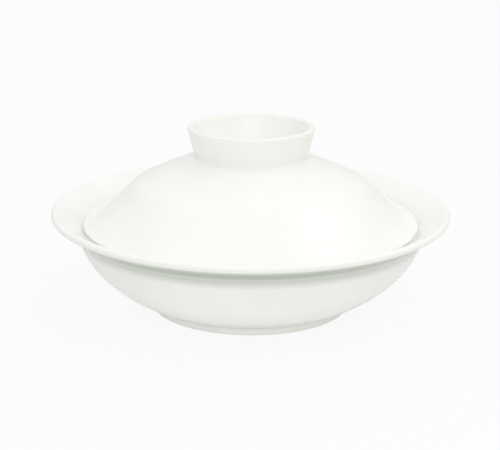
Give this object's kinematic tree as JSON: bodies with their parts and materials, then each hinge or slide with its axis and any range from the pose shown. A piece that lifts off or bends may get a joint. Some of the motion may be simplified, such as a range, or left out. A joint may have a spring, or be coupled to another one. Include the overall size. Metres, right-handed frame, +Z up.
{
  "type": "lidded bouillon bowl",
  "caption": "Wide-brimmed porcelain soup bowl on a foot ring, with a domed lid that drops onto a seat inside the brim and is lifted by a flared ring knob.",
  "frame": {"origin": "on the table, under the middle of the foot ring", "axes": "+Z up along the axis that every piece is turned about; +Y away from the picture's camera"},
  "size_m": [0.203, 0.203, 0.0935],
  "materials": {
    "porcelain": "glossy clear glaze over white porcelain"
  },
  "bodies": {
    "bowl": {"bowl": "porcelain"},
    "lid": {"lid": "porcelain", "ring_knob": "porcelain"}
  },
  "joints": [
    {"name": "lid_lift", "type": "slide", "parent": "bowl", "child": "lid", "axis": [0, 0, 1], "range_m": [0, 0.08]}
  ]
}
